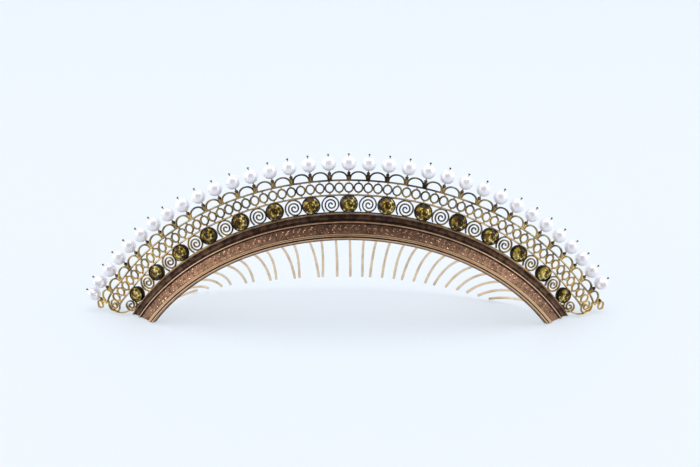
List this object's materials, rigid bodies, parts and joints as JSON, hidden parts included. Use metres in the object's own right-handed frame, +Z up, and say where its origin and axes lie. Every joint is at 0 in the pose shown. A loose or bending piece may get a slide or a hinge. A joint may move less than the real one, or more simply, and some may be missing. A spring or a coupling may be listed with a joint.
{
  "type": "tiara comb",
  "caption": "Gilt wirework tiara on a curved moulded band, with a pierced gallery of rings, scrolls and arches, cut paste stones, pearls on pins and a hair comb behind.",
  "frame": {"origin": "middle of the footprint of the overall box, on the floor the tiara stands on", "axes": "+X along the tiara's width to its right end as the wearer's front is seen, -Y towards the viewer of its front, +Z up from the floor"},
  "size_m": [0.1608, 0.0282, 0.0531],
  "materials": {
    "gilt_stamping": "worn rose-gilt stamping",
    "gilt_wire": "gilt wire, darkened in the recesses",
    "comb_wire": "pale gilt drawn wire",
    "olive_paste": "foiled olive paste, polished facets",
    "pearl": "polished white nacre"
  },
  "bodies": {
    "root": {"comb_band": "gilt_stamping", "gallery": "gilt_wire", "comb": "comb_wire", "stone_01": "olive_paste", "stone_02": "olive_paste", "stone_03": "olive_paste", "stone_04": "olive_paste", "stone_05": "olive_paste", "stone_06": "olive_paste", "stone_07": "olive_paste", "stone_08": "olive_paste", "stone_09": "olive_paste", "stone_10": "olive_paste", "stone_11": "olive_paste", "stone_12": "olive_paste", "stone_13": "olive_paste", "stone_14": "olive_paste", "stone_15": "olive_paste", "pearl_01": "pearl", "pearl_02": "pearl", "pearl_03": "pearl", "pearl_04": "pearl", "pearl_05": "pearl", "pearl_06": "pearl", "pearl_07": "pearl", "pearl_08": "pearl", "pearl_09": "pearl", "pearl_10": "pearl", "pearl_11": "pearl", "pearl_12": "pearl", "pearl_13": "pearl", "pearl_14": "pearl", "pearl_15": "pearl", "pearl_16": "pearl", "pearl_17": "pearl", "pearl_18": "pearl", "pearl_19": "pearl", "pearl_20": "pearl", "pearl_21": "pearl", "pearl_22": "pearl", "pearl_23": "pearl", "pearl_24": "pearl", "pearl_25": "pearl", "pearl_26": "pearl", "pearl_27": "pearl", "pearl_28": "pearl", "pearl_29": "pearl", "pearl_30": "pearl", "pearl_31": "pearl", "pearl_32": "pearl", "pearl_33": "pearl", "pearl_34": "pearl"}
  },
  "joints": []
}
